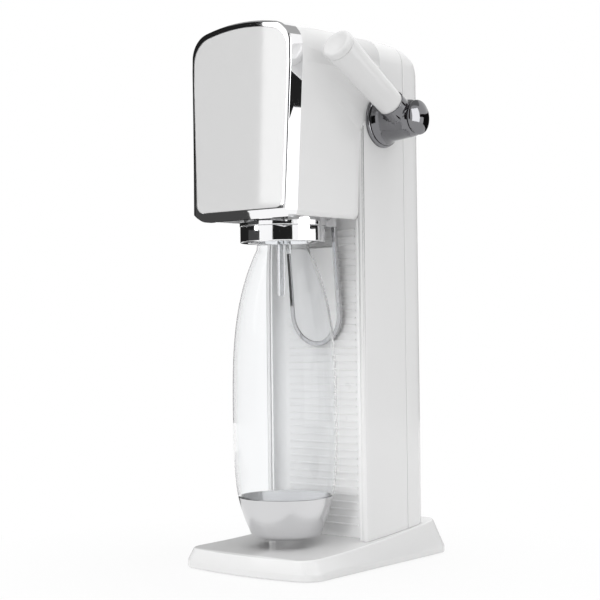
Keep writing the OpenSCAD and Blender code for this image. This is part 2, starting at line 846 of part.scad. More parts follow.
module cradle_plate() {
    rear = band_low_y - (plate_z - band_z) * tan(band_lean) + band_depth + 0.6;
    color("silver") difference() {
        union() {
            translate([0, 0, plate_z]) linear_extrude(plate_h - 0.4) difference() {
                union() {
                    circle(r = collar_r + 0.4, $fn = 128);
                    polygon(rounded([[-band_half_w, 0, 0], [band_half_w, 0, 0], [band_half_w, rear, 3],
                        [-band_half_w, rear, 3]], 6));
                }
                circle(r = 21.3, $fn = 96);
            }
            for (s = [-1, 1]) translate([s * 32.5, tilt_y, 0]) ear(s);
        }
        at_tilt() cylinder(h = 80, r = 2.56, $fn = 48, center = true);
    }
}

module ear(s) {
    translate([-1.5, -5, plate_top - 1]) cube([3, 10, tilt_z - plate_top + 1]);
    translate([-1.5, 0, tilt_z]) rotate([0, 90, 0]) cylinder(h = 3, r = 5, $fn = 48);
}

module collar_ring() {
    color("silver") rotate_extrude($fn = 128) polygon([
        [27, collar_z + 1], [28, collar_z], [collar_r - 0.8, collar_z], [collar_r, collar_z + 0.8],
        [collar_r, plate_z - 0.8], [collar_r - 0.5, plate_z], [26, plate_z], [26, collar_z + 6], [27, collar_z + 5]
    ]);
}

module carbonation_head() {
    color("dimgray") difference() {
        union() {
            translate([0, 0, plate_z + 0.2]) cylinder(h = 24, r = 21, $fn = 96);
            translate([-2, tilt_y, tilt_z]) rotate([0, 90, 0]) cylinder(h = 23, r = 5.5, $fn = 48);
        }
        translate([10, tilt_y, tilt_z]) rotate([0, 90, 0]) cylinder(h = 20, r = 2.56, $fn = 48);
        translate([nozzle_x, 0, plate_z - 1]) cylinder(h = 16, r = nozzle_r, $fn = 48);
        translate([tip_x, 0, plate_z - 1]) cylinder(h = 8, r = 1.6, $fn = 48);
    }
}

nozzle_x = -2.6;
tip_x = 6;
tip_len = 19;

module pivot_pins() {
    color("silver") for (s = [-1, 1])
        translate([s * 34.8, tilt_y, tilt_z]) rotate([0, 90, 0]) cylinder(h = 8.6, r = 2.5, $fn = 48, center = true);
}

module nozzle() {
    top = plate_z + 14;
    color("lightgray", 0.7) translate([nozzle_x, 0, mouth_z - nozzle_len]) difference() {
        cylinder(h = top - mouth_z + nozzle_len, r = nozzle_r, $fn = 48);
        translate([0, 0, -1]) cylinder(h = top - mouth_z + nozzle_len - 2, r = nozzle_r - 1.1, $fn = 48);
    }
}

module relief_tip() {
    color("lightgray", 0.7) translate([tip_x, 0, mouth_z - tip_len])
        cylinder(h = plate_z + 6 - mouth_z + tip_len, r = 1.6, $fn = 48);
}

module relief_valve() {
    color("gold") translate([-9, 7, plate_z + 24.2]) {
        cylinder(h = 9, r = 5, $fn = 6);
        cylinder(h = 16, r = 3.4, $fn = 48);
    }
}

module neck_seal() {
    color("dimgray") translate([0, 0, mouth_z]) difference() {
        cylinder(h = plate_z - mouth_z, r = neck_r - 0.4, $fn = 96);
        translate([nozzle_x, 0, -1]) cylinder(h = 9, r = nozzle_r, $fn = 48);
        translate([tip_x, 0, -1]) cylinder(h = 9, r = 1.6, $fn = 48);
    }
}

// ---------------------------------------------------------------- bottle

neck_from = 250;
widest_z = 120;
cup_gap = 0.15;
cup_wall = 1;
foot_z = 31;

// Radius at height z: a long shoulder above the widest point, and a foot that draws in below it.
function bottle_radius(z) =
    z > widest_z
        ? bottle_r - (bottle_r - neck_r - 2.2) * pow((z - widest_z) / (neck_from - widest_z), 3.13)
        : bottle_r - 15.5 * pow((widest_z - z) / (widest_z - bottle_z), 3.47);

module bottle() {
    set_in = cup_gap + cup_wall;
    in_cup = [
        for (i = [0:8]) let (z = foot_z + (cup_z - foot_z) * i / 8) [bottle_radius(z) - set_in, z]
    ];
    above = [
        for (i = [0:30]) let (z = cup_z + 0.4 + (neck_from - cup_z - 0.4) * i / 30) [bottle_radius(z), z]
    ];
    neck = [[neck_r + 0.6, neck_from + 3], [neck_r, neck_from + 6], [neck_r, mouth_z - 0.4]];
    outer = concat(in_cup, above, neck);
    n = len(outer);
    inner = [for (i = [n - 1:-1:0]) [outer[i].x - bottle_wall - (i < 9 ? 0 : 0.2), outer[i].y]];
    color("lightblue", 0.3) rotate_extrude($fn = 128) polygon(concat(
        [[0, foot_z - 1.5], [in_cup[0].x - 6, foot_z - 1.5]],
        outer,
        inner,
        [[in_cup[0].x - 7, foot_z + 0.4], [0, foot_z + 0.4]]
    ));
}

// Thin metal cup that the bottle's foot sits in.
module bottle_cup() {
    steps = 10;
    function side(inset) = [
        for (i = [0:steps]) let (z = foot_z + (cup_z - foot_z) * i / steps) [bottle_radius(z) - inset, z]
    ];
    outer = side(0);
    inner = side(cup_wall);
    foot_r = outer[0].x - 6.5;
    color("silver") rotate_extrude($fn = 128) polygon(concat(
        [[0, bottle_z + 1], [foot_r - 3, bottle_z + 1], [foot_r - 1.5, bottle_z], [foot_r, bottle_z],
         [foot_r + 3.2, bottle_z + 1.6], [foot_r + 5.2, bottle_z + 4]],
        outer,
        [for (i = [steps:-1:0]) inner[i]],
        [[foot_r + 4.2, bottle_z + 4.8], [foot_r + 2.4, bottle_z + 2.7], [foot_r, bottle_z + 2], [0, bottle_z + 2]]
    ));
}

// ---------------------------------------------------------------- rear cover

button_z = 352;
button_r = 11;
button_travel = 3;
pocket_y = 104;

// The cover's button looks towards the rear.
module at_button(y) { translate([0, y, button_z]) rotate([-90, 0, 0]) children(); }

module rear_cover() {
    color("white") difference() {
        union() {
            difference() {
                intersection() {
                    body_form(0);
                    translate([-far / 2, seam_y + 0.4, 0]) cube([far, far, far]);
                }
                body_form(wall);
            }
            // pocket that holds the button's spring
            at_button(pocket_y) difference() {
                cylinder(h = column_rear - pocket_y - 1, r = button_r + 5, $fn = 96);
                translate([0, 0, 2]) cylinder(h = 40, r = button_r + 3, $fn = 96);
            }
        }
        at_button(110) cylinder(h = 20, r = button_r + 0.25, $fn = 96);
        under_base_top();
    }
}

module release_button() {
    color("white") {
        at_button(column_rear - wall - 1.8) cylinder(h = wall + 3, r = button_r, $fn = 96);
        at_button(column_rear - wall - 2.3) cylinder(h = 2, r = button_r + 2.6, $fn = 96);
    }
}

module button_spring() {
    length = column_rear - wall - 2.3 - pocket_y - 2 - 0.2;
    color("gray") at_button(pocket_y + 2.1) coil(7, 0.6, length, 3);
}

base_shell();
base_plate();
rubber_feet();
base_screws();
housing();
niche_panel();
frame_bezel();
front_panel();
chassis();
escutcheon();
bush_inner();
bush_outer();
lever_shaft();
lever_cam();
lever_hub();
lever_knob();
lever_handle();
handle_cap();
lever_spring();
valve_body();
valve_plunger();
valve_spring();
gas_cylinder();
cylinder_valve();
cylinder_seat();
connector_block();
clamp_lever();
clamp_pin();
gas_pipe();
feed_pipe();
cradle_plate();
collar_ring();
support_band();
tongue_panel();
carbonation_head();
pivot_pins();
nozzle();
relief_tip();
relief_valve();
neck_seal();
bottle();
bottle_cup();
rear_cover();
release_button();
button_spring();
chassis_screws();
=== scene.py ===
# %% [markdown]
# # Dressing a soda carbonator
#
# The machine is a white, upright drink maker: a wedge-shaped base, a tall column, and a head that
# leans out over a clear bottle. A mirror-bright frame holds the front panel, a bright collar grips
# the bottle's neck, and a lever on the right side opens the gas.
# The solids already have their true sizes. This lesson gives them soft edges, mirror plating,
# glossy mouldings and clear plastic, and it builds a small studio round them.

import math

import bmesh
import bpy
from mathutils import Matrix, Vector


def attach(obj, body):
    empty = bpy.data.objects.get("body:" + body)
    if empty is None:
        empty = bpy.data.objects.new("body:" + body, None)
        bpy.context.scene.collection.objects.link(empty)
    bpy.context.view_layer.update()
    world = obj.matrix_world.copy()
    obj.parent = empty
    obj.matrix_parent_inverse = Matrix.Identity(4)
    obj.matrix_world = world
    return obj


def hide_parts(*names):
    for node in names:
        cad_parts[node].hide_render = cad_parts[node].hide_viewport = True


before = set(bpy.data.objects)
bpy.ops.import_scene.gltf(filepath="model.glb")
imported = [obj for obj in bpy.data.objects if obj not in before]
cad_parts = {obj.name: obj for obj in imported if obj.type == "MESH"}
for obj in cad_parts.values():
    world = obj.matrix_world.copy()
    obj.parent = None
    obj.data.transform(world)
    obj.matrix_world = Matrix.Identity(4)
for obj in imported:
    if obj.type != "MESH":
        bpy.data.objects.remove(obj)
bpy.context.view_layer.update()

# %% [markdown]
# ## Three kinds of mesh
#
# Most outer parts are mouldings. A moulding never has a knife edge, so a copy of its solid is joined
# up and its flat faces are cleaned, and then its hard edges are rounded.
# Round parts are turned: a half outline is spun round an axis, as on a lathe.
# The solids inside the machine keep their own mesh and only get a finish.
# The mouldings and the turned parts are shown in the same way: smooth, but creased where two faces
# meet steeply.

# %% Showing and joining
hard_angle = 32.0
flat_angle = 0.3


def show(name, bm, smooth_to=hard_angle):
    """Puts a bmesh on show as a new object, smooth except where faces meet steeply."""
    mesh = bpy.data.meshes.new(name)
    bm.to_mesh(mesh)
    bm.free()
    mesh.shade_smooth()
    mesh.set_sharp_from_angle(angle=math.radians(smooth_to))
    piece = bpy.data.objects.new(name, mesh)
    bpy.context.scene.collection.objects.link(piece)
    return piece


def joined(node, weld=2e-6):
    """A bmesh of a node with its loose triangles joined and its flat faces cleaned."""
    bm = bmesh.new()
    bm.from_mesh(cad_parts[node].data)
    bmesh.ops.remove_doubles(bm, verts=bm.verts, dist=weld)
    bmesh.ops.dissolve_limit(
        bm, angle_limit=math.radians(flat_angle), use_dissolve_boundaries=False,
        verts=bm.verts, edges=bm.edges, delimit={"NORMAL"},
    )
    return bm


print("hard from", hard_angle, "degrees, flat up to", flat_angle)

# %% [markdown]
# ## Soft edges
#
# A round could be cut into the mesh itself, but on a big flat face that spoils the shading. A Bevel
# modifier with hardened normals keeps the big faces flat, while the small rounded strips catch the
# light. Each piece is then tied to the body that it moves with, and the nodes that it stands for are
# hidden.

# %% Softening and fitting
usual_round = 0.0005


def soften(piece, width, segments=3, hard=hard_angle):
    """Rounds the piece's hard edges with a Bevel modifier."""
    edge = piece.modifiers.new("soft_edges", "BEVEL")
    edge.width = width
    edge.segments = segments
    edge.limit_method = "ANGLE"
    edge.angle_limit = math.radians(hard)
    edge.use_clamp_overlap = False
    edge.harden_normals = True
    return piece


def fit(piece, body, finish, slot, *nodes):
    """Gives a piece its finish, ties it to its body, and hides the nodes that it stands for."""
    piece.data.materials.clear()
    piece.data.materials.append(finish)
    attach(piece, body)
    if nodes:
        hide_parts(*nodes)
    print(piece.name, "faces:", len(piece.data.polygons))
    return piece


def moulded(name, node, body, finish, slot, width=usual_round, segments=3, hard=hard_angle):
    """A softened copy of a node that stands for it."""
    piece = soften(show(name, joined(node), hard), width, segments, hard)
    return fit(piece, body, finish, slot, node)


print("usual round:", usual_round * 1000, "mm")

# %% [markdown]
# ## Building blocks for finishes
#
# Every finish is a Principled shader fed by Noise textures on Object coordinates, so that the pattern
# stays put on the part. One slow noise shifts the colour a little, another changes the roughness, and
# a third ripples the surface. Values that are the same all over are set on the shader.

# %% Helpers for finishes
def start_finish(name):
    """A new material: its node tree, its shader and its Object coordinates."""
    finish = bpy.data.materials.new(name)
    finish.use_nodes = True
    tree = finish.node_tree
    shader = tree.nodes["Principled BSDF"]
    place = tree.nodes.new("ShaderNodeTexCoord").outputs["Object"]
    return finish, tree, shader, place


def noise(tree, place, scale, detail=2.0, stretch=(1, 1, 1)):
    """A Noise texture's strength; stretch packs the pattern more tightly along an axis."""
    mapping = tree.nodes.new("ShaderNodeMapping")
    mapping.inputs["Scale"].default_value = stretch
    texture = tree.nodes.new("ShaderNodeTexNoise")
    texture.inputs["Scale"].default_value = scale
    texture.inputs["Detail"].default_value = detail
    tree.links.new(place, mapping.inputs["Vector"])
    tree.links.new(mapping.outputs["Vector"], texture.inputs["Vector"])
    return texture.outputs["Fac"]


def spread(tree, strength, low, high, noise_low=0.3, noise_high=0.7):
    """Spreads the middle of a noise, where nearly all of it lies, over a range of values."""
    reach = tree.nodes.new("ShaderNodeMapRange")
    reach.inputs["From Min"].default_value = noise_low
    reach.inputs["From Max"].default_value = noise_high
    reach.inputs["To Min"].default_value = low
    reach.inputs["To Max"].default_value = high
    tree.links.new(strength, reach.inputs["Value"])
    return reach.outputs["Result"]


def colour(tree, shader, strength, first, second):
    """Mixes two colours by a noise, as the finish's colour."""
    mix = tree.nodes.new("ShaderNodeMix")
    mix.data_type = "RGBA"
    mix.inputs["A"].default_value = (*first, 1)
    mix.inputs["B"].default_value = (*second, 1)
    tree.links.new(spread(tree, strength, 0, 1), mix.inputs["Factor"])
    tree.links.new(mix.outputs["Result"], shader.inputs["Base Color"])


def roughen(tree, shader, strength, low, high):
    """Varies the roughness between two values by a noise."""
    tree.links.new(spread(tree, strength, low, high), shader.inputs["Roughness"])


def ripple(tree, shader, strength, height, depth):
    """A small bump on the surface, depth in metres."""
    bump = tree.nodes.new("ShaderNodeBump")
    bump.inputs["Strength"].default_value = strength
    bump.inputs["Distance"].default_value = depth
    tree.links.new(height, bump.inputs["Height"])
    tree.links.new(bump.outputs["Normal"], shader.inputs["Normal"])


def grey(value):
    """A neutral colour."""
    return (value, value, value)


def shaded(tone, share=0.985):
    """The same colour, a trace darker."""
    return tuple(c * share for c in tone)


print("a white's two tones:", grey(0.79), shaded(grey(0.79)))

# %% [markdown]
# ## White mouldings
#
# The body, the base and the handle are injection-moulded in a bright white with a polished skin that
# has a faint orange peel. The handle is a trace greyer than the body. The lining behind the bottle,
# the cradle's tongue and the cover's button are satin, in a white painted lighter than the body's:
# painted light that lifts the shade in the niche behind the bottle. The front panel is a little
# greyer than the body, with a harder, flatter gloss.

# %% White finishes
def white_moulding(name, tone, gloss, level, peel):
    """A white plastic; gloss is its usual roughness, level its mirror strength, peel its ripple."""
    finish, tree, shader, place = start_finish(name)
    colour(tree, shader, noise(tree, place, 7.0), shaded(grey(tone)), grey(tone))
    roughen(tree, shader, noise(tree, place, 60.0, 3.0), gloss * 0.75, gloss * 1.3)
    shader.inputs["Specular IOR Level"].default_value = level
    ripple(tree, shader, peel, noise(tree, place, 420.0, 1.0), 0.00005)
    return finish


white = white_moulding("white_gloss", 0.79, 0.12, 0.25, 0.06)
white_grip = white_moulding("white_grip", 0.735, 0.12, 0.25, 0.06)
# Painted light: the satin white is lighter than the body's, to lift the shade in the niche.
white_satin_painted_light = white_moulding("white_satin_painted_light", 0.92, 0.34, 0.4, 0.1)
panel_white = white_moulding("panel_gloss", 0.74, 0.035, 1.0, 0.02)
print("white finishes:", white.name, white_grip.name, white_satin_painted_light.name, panel_white.name)

# %% [markdown]
# ## Metals
#
# Chrome plating is a mirror: nearly colourless, a few hundredths of roughness, with faint wiping
# marks. The frame has the clearest. That of the collar and its plate is a little duller, the thin
# band's is darker, and the lever's ring, hub and knob are painted much darker than bright chrome:
# painted shade that dims all they reflect, so that they stand out against the white body.
# The cup under the bottle is steel with a satin skin, so its reflections are wide and soft.
# Brass, plain steel, zinc and drawn aluminium are used inside the machine, each a little duller.

# %% Metal finishes
def metal(name, light, dark, rough_low, rough_high, scale=45.0, stretch=(1, 1, 1), depth=0.0):
    """A metal of two near colours; depth, in metres, gives it a fine grain as well."""
    finish, tree, shader, place = start_finish(name)
    shader.inputs["Metallic"].default_value = 1.0
    marks = noise(tree, place, scale, 4.0, stretch)
    colour(tree, shader, noise(tree, place, 12.0), dark, light)
    roughen(tree, shader, marks, rough_low, rough_high)
    if depth:
        ripple(tree, shader, 0.3, noise(tree, place, scale * 6, 2.0, stretch), depth)
    return finish


fine, coarse = 0.00001, 0.00002
mirror, mirror_low = (0.95, 0.95, 0.96), (0.91, 0.91, 0.92)
chrome = metal("chrome", mirror, mirror_low, 0.012, 0.035)
# Painted shade: the lever's plating is far darker than bright chrome, so all it reflects is dimmed.
lever_chrome_painted_dark = metal("lever_chrome_painted_dark", (0.24, 0.24, 0.25), (0.19, 0.19, 0.20), 0.05, 0.09)
collar_chrome = metal("collar_chrome", mirror, mirror_low, 0.05, 0.08)
band_chrome = metal("band_chrome", (0.55, 0.55, 0.56), (0.48, 0.48, 0.49), 0.02, 0.05)
satin_steel = metal("satin_steel", (0.70, 0.70, 0.71), (0.66, 0.66, 0.67), 0.19, 0.22, 60.0, (1, 1, 8))
bright_steel = metal("bright_steel", (0.62, 0.62, 0.64), (0.52, 0.52, 0.54), 0.18, 0.34, 120.0, depth=fine)
zinc_plate = metal("zinc_plate", (0.56, 0.58, 0.60), (0.44, 0.46, 0.49), 0.34, 0.52, 70.0, depth=coarse)
brass = metal("brass", (0.78, 0.60, 0.30), (0.66, 0.48, 0.22), 0.20, 0.36, 110.0, depth=fine)
drawn_aluminium = metal(
    "drawn_aluminium", (0.74, 0.75, 0.77), (0.66, 0.67, 0.70), 0.26, 0.40, 60.0, (6, 6, 1), coarse,
)
print("metal finishes ready")

# %% [markdown]
# ## Dark, coloured and rubbery parts
#
# The pressure fittings inside are dull dark mouldings, the seals and feet are black rubber, and the
# clamp is coloured so that its user can find it. These are rough, with a grained skin.

# %% Matte finishes
def matte(name, light, dark, rough_low, rough_high, grain):
    """A dull moulding or rubber; grain is how strongly its skin is roughened."""
    finish, tree, shader, place = start_finish(name)
    colour(tree, shader, noise(tree, place, 30.0, 3.0), dark, light)
    roughen(tree, shader, noise(tree, place, 200.0), rough_low, rough_high)
    ripple(tree, shader, grain, noise(tree, place, 1500.0, 1.0), 0.0001)
    return finish


dark_moulding = matte("dark_moulding", grey(0.055), grey(0.04), 0.38, 0.55, 0.35)
black_rubber = matte("black_rubber", grey(0.035), grey(0.02), 0.65, 0.85, 0.5)
clamp_pink = matte("clamp_pink", (0.72, 0.16, 0.30), (0.66, 0.13, 0.26), 0.35, 0.5, 0.3)
pressure_tube = matte("pressure_tube", grey(0.50), grey(0.44), 0.28, 0.42, 0.15)
print("matte finishes ready")

# %% [markdown]
# ## Clear plastic
#
# The bottle and the gas nozzle are clear mouldings. They are made with a real wall, an outer and an
# inner skin, so the shader can bend the light at both, and the edges darken as they do on clear
# plastic. A trace of roughness and a slow ripple keep the bottle from looking like cut crystal.
# Its index is set below real plastic's, so that its edges stay light.
# A shader that bends light stops the straight rays from lamps and would throw a dark shadow. Real
# clear plastic takes only a little at each skin, so the bottle's finish turns see-through for those
# rays alone. It still throws a shadow, and a faint one.

# %% Clear finishes
def clear(name, tint, index, rough_low, rough_high, wave):
    """A clear plastic; index says how strongly it bends light, wave how much its skin ripples."""
    finish, tree, shader, place = start_finish(name)
    shader.inputs["Transmission Weight"].default_value = 1.0
    shader.inputs["IOR"].default_value = index
    colour(tree, shader, noise(tree, place, 9.0), shaded(tint), tint)
    roughen(tree, shader, noise(tree, place, 35.0), rough_low, rough_high)
    ripple(tree, shader, wave, noise(tree, place, 24.0, 1.0), 0.0002)
    return finish


def pass_lamps(finish, share):
    """Lets this share of a lamp's light through each skin of a clear finish."""
    tree = finish.node_tree
    surface = tree.nodes["Material Output"].inputs["Surface"]
    shader = surface.links[0].from_node
    faint = tree.nodes.new("ShaderNodeBsdfTransparent")
    faint.inputs["Color"].default_value = (*grey(share), 1)
    path = tree.nodes.new("ShaderNodeLightPath")
    mix = tree.nodes.new("ShaderNodeMixShader")
    tree.links.new(path.outputs["Is Shadow Ray"], mix.inputs["Fac"])
    tree.links.new(shader.outputs["BSDF"], mix.inputs[1])
    tree.links.new(faint.outputs["BSDF"], mix.inputs[2])
    tree.links.new(mix.outputs["Shader"], surface)
    print(finish.name, "passes", round(share ** 4, 2), "of a lamp's light through both walls")


clear_bottle = clear("clear_bottle", (0.985, 0.99, 0.995), 1.25, 0.0, 0.002, 0.004)
pass_lamps(clear_bottle, 0.96)
clear_tube = clear("clear_tube", (0.93, 0.94, 0.95), 1.45, 0.02, 0.05, 0.05)

# %% [markdown]
# ## The body's mouldings
#
# The column and the head are one shell, closed behind by a cover that is drawn off. The base is a
# separate shell with a lip round its foot. Copies of the solids get a narrow round, of 0.3 to 1.2 mm.
# The joint between shell and cover then shows as a real, narrow groove. The shell has one fine step
# across its shoulder, where a round would stand proud, so its hard edges are marked one by one and
# that step is left out.

# %% Body
def rounded_body(shoulder_y=0.061, shoulder_z=0.39, reach=0.0002):
    """The housing, its hard edges marked for a round, but not the fine step across the shoulder."""
    bm = joined("housing", weld=6e-5)
    weight = bm.edges.layers.float.new("bevel_weight_edge")
    for edge in bm.edges:
        hard = edge.is_manifold and edge.calc_face_angle(0) > math.radians(hard_angle)
        on_step = all(abs(v.co.y - shoulder_y) < reach and v.co.z > shoulder_z for v in edge.verts)
        edge[weight] = 1.0 if hard and not on_step else 0.0
    return bm


body_shell = soften(show("body_shell", rounded_body()), 0.0006)
body_shell.modifiers["soft_edges"].limit_method = "WEIGHT"
fit(body_shell, "stand", white, "white_plastic", "housing")
moulded("back_cover", "rear_cover", "cover", white, "white_plastic", 0.0006)
moulded("base", "base_shell", "stand", white, "white_plastic", 0.0012, 4, hard=24.0)
moulded("niche_lining", "niche_panel", "stand", white_satin_painted_light, "white_plastic", 0.0003, 2)
moulded("push_button", "release_button", "button", white_satin_painted_light, "white_plastic", 0.0008, 4)

# %% [markdown]
# ## Front frame and panel
#
# The frame is one plated moulding that runs round the panel and slopes back under it as a chin. The
# panel sits in it a little below the frame's edge. The frame's outer front edge has a wide round, and
# it is drawn in first, so that the frame's side leans in slightly before the round begins. That edge
# runs over the top and down both sides, but not along the chin. The panel's edge is just broken.

# %% Front
def outer_front(edge, middle, front_facing=-0.9, side_facing=0.5, chin_facing=-0.3):
    """The front's normal and the outward step at one of the frame's outer front edges, or None."""
    fronts = [f for f in edge.link_faces if f.normal.y < front_facing]
    sides = [f for f in edge.link_faces if abs(f.normal.y) < side_facing and f.normal.z > chin_facing]
    if len(fronts) != 1 or len(sides) != 1:
        return None
    out = sides[0].normal.copy()
    out.y = 0
    away = (edge.verts[0].co + edge.verts[1].co) / 2 - middle
    away.y = 0
    if out.dot(away) <= 0:
        return None
    return fronts[0].normal.copy(), out.normalized()


def framed(draw_in=0.0007, head_middle_z=0.352):
    """The frame's solid, its outer front edge drawn in a little and marked for a wide round."""
    bm = joined("frame_bezel")
    bm.normal_update()
    weight = bm.edges.layers.float.new("bevel_weight_edge")
    steps = {}
    marked = 0
    for edge in bm.edges:
        found = outer_front(edge, Vector((0, 0, head_middle_z)))
        if found is None:
            continue
        front, out = found
        edge[weight] = 1.0
        marked += 1
        for corner in edge.verts:
            steps.setdefault(corner, [Vector(), front])[0] += out
    for corner, (out, front) in steps.items():
        step = out.normalized() * draw_in
        corner.co -= step - front * step.dot(front)
    print("frame edges with a wide round:", marked)
    return bm


front_frame = show("front_frame", framed())
wide = front_frame.modifiers.new("wide_edge", "BEVEL")
wide.width = 0.0018
wide.segments = 5
wide.limit_method = "WEIGHT"
wide.use_clamp_overlap = False
wide.harden_normals = True
fit(front_frame, "stand", chrome, "chrome", "frame_bezel")
moulded("panel", "front_panel", "stand", panel_white, "panel_white", 0.0004)

# %% [markdown]
# ## Turning
#
# Collar, bottle, cup, nozzle, ring, knob, handle, its cap and gas cylinder are round. A solid could be
# copied and softened as the mouldings are, but its facets would show in plating and in clear plastic.
# A half outline that is spun in many steps gives a smoother skin and true little rounds at the edges.

# %% Turned parts
def turned(name, outline, place=Matrix(), steps=96, smooth_to=hard_angle):
    """Spins an outline of (radius, height) pairs, in millimetres, round Z, then puts it in place."""
    bm = bmesh.new()
    points = [bm.verts.new((r / 1000, 0, h / 1000)) for r, h in outline]
    chain = [bm.edges.new(pair) for pair in zip(points, points[1:])]
    bmesh.ops.spin(
        bm, geom=points + chain, cent=(0, 0, 0), axis=(0, 0, 1), angle=math.tau,
        steps=steps, use_merge=True, use_duplicate=False,
    )
    bmesh.ops.remove_doubles(bm, verts=bm.verts, dist=1e-6)
    bmesh.ops.transform(bm, matrix=place, verts=bm.verts)
    bmesh.ops.recalc_face_normals(bm, faces=bm.faces)
    return show(name, bm, smooth_to)


def arc(centre_r, centre_h, radius, start, end, steps=6, squash=1.0):
    """Points (radius, height) on an arc from one angle to another, in degrees from straight out."""
    turn = [math.radians(start + (end - start) * i / steps) for i in range(steps + 1)]
    return [(centre_r + radius * math.cos(a), centre_h + squash * radius * math.sin(a)) for a in turn]


print("a quarter round:", [(round(r, 2), round(h, 2)) for r, h in arc(0, 0, 1, 0, 90, 3)])

# %% [markdown]
# ## The cradle
#
# The bottle hangs from a plated plate and collar that tilt forward on two pins. A bent band reaches
# down behind the bottle with a white panel inside it. The collar is turned: its outside is a short
# cylinder with a small round at both ends, and its lower face is hollowed where the neck enters.

# %% Cradle
collar_r, hole_r, lip_r = 34.3, 26.0, 28.6
collar_z, plate_z = 259.6, 272.5
lip, foot_round, top_round = 1.0, 0.9, 0.6
collar_outline = (
    [(hole_r, plate_z), (hole_r, collar_z + 6.0), (hole_r + 1.4, collar_z + 4.0)]
    + arc(lip_r, collar_z + lip, lip, 180, 270, 4)
    + arc(collar_r - foot_round, collar_z + foot_round, foot_round, 270, 360, 5)
    + arc(collar_r - top_round, plate_z - top_round, top_round, 0, 90, 4)
    + [(hole_r, plate_z)]
)
collar = turned("collar", collar_outline, steps=160)
fit(collar, "cradle", collar_chrome, "chrome", "collar_ring")
moulded("plate", "cradle_plate", "cradle", collar_chrome, "chrome")
moulded("band", "support_band", "cradle", band_chrome, "chrome", hard=40.0)
moulded("tongue", "tongue_panel", "cradle", white_satin_painted_light, "white_plastic", 0.0004)

# %% [markdown]
# ## The bottle
#
# The bottle is blown in one piece: a long shoulder, a waist that draws in to the foot, and a thin even
# wall. Its outline is two power curves that meet at the widest place, and the inside is the same
# outline a wall's thickness further in. Below the cup's rim the bottle is tucked in, to leave the cup
# its room.

# %% Bottle
bottle_r, neck_r = 41.8, 21.0
bottle_z, foot_z, cup_z = 24.0, 31.0, 57.0
widest_z, neck_from, mouth_z = 120.0, 250.0, 269.5
flare, shoulder_power = 2.2, 3.13
draw, foot_power = 15.5, 3.47
wall, floor_z = 1.6, foot_z + 0.4
tucked, rings = 1.15, 144


def bottle_radius(z):
    """The bottle's outer radius at a height, both in millimetres."""
    if z > widest_z:
        share = (z - widest_z) / (neck_from - widest_z)
        return bottle_r - (bottle_r - neck_r - flare) * share ** shoulder_power
    share = (widest_z - z) / (widest_z - bottle_z)
    return bottle_r - draw * share ** foot_power


heights = [foot_z + (neck_from - foot_z) * i / rings for i in range(rings + 1)]
skin = [(bottle_radius(z) - (tucked if z < cup_z else 0), z) for z in heights]
skin += [(neck_r + 0.6, neck_from + 3), (neck_r, neck_from + 6)]
skin += [(neck_r, mouth_z - 1.0), (neck_r - 0.6, mouth_z - 0.4)]
inside = [(r - wall, z) for r, z in reversed(skin)]
foot_r = skin[0][0] - 6
under = [(0, foot_z - 1.5), (foot_r, foot_z - 1.5)]
bottle_outline = under + skin + inside + [(foot_r - 1, floor_z), (0, floor_z)]
bottle = turned("clear_bottle", bottle_outline, steps=180, smooth_to=40)
fit(bottle, "bottle", clear_bottle, "clear_bottle", "bottle")

# %% [markdown]
# ## The cup
#
# A steel cup hides the bottle's moulded foot. It could be a plain cone, but then it would stand off the
# bottle, so it follows the bottle's own curve and turns in below to a narrow foot.

# %% Cup
sheet, cup_rings = 1.0, 14
rise = [foot_z + (cup_z - foot_z) * i / cup_rings for i in range(cup_rings + 1)]
outer = [(bottle_radius(z), z) for z in rise]
rim_out = outer[-1][0]
foot = outer[0][0] - 6.5
cup_foot = [
    (0, bottle_z + 1), (foot - 3, bottle_z + 1), (foot - 1.5, bottle_z), (foot, bottle_z),
    (foot + 1.8, bottle_z + 0.6), (foot + 3.4, bottle_z + 1.7),
    (foot + 4.6, bottle_z + 3.1), (foot + 5.6, bottle_z + 4.8),
]
cup_floor = [
    (foot + 4.2, bottle_z + 4.8), (foot + 2.4, bottle_z + 2.7), (foot, bottle_z + 2), (0, bottle_z + 2),
]
cup_outline = (
    cup_foot
    + outer[:-1]
    + [(rim_out, cup_z - 0.4), (rim_out - 0.3, cup_z), (rim_out - 0.8, cup_z)]
    + [(r - sheet, z) for r, z in reversed(outer[:-1])]
    + cup_floor
)
cup = turned("steel_cup", cup_outline, steps=160, smooth_to=40)
fit(cup, "bottle", satin_steel, "chrome", "bottle_cup")

# %% [markdown]
# ## The nozzle
#
# Gas enters the water through a clear tube. It is turned with its bore, open at the lower end, so that
# the tube shows two walls, and its tip is cut square with the edges just broken.

# %% Nozzle
nozzle_x, nozzle_r, bore_r = -2.6, 3.0, 1.6
tip_z, root_z = 217.0, 286.5
nozzle_outline = [
    (0, root_z), (nozzle_r, root_z), (nozzle_r, tip_z + 0.3), (nozzle_r - 0.3, tip_z),
    (bore_r + 0.2, tip_z), (bore_r, tip_z + 0.2), (bore_r, root_z - 1.5), (0, root_z - 1.5),
]
nozzle = turned("clear_nozzle", nozzle_outline, Matrix.Translation((nozzle_x / 1000, 0, 0)), 48)
fit(nozzle, "cradle", clear_tube, "clear_tube", "nozzle")

# %% [markdown]
# ## The lever's ring and knob
#
# The lever turns on a shaft that leaves the body through a plated ring, and a domed knob closes its
# outer end. Both are turned round the shaft, whose axis runs across the machine.

# %% Ring and knob
half_w = 53.5
shaft_y, shaft_z = 0.0625, 0.358
lever_axis = Matrix.Translation((0, shaft_y, shaft_z)) @ Matrix.Rotation(math.pi / 2, 4, "Y")

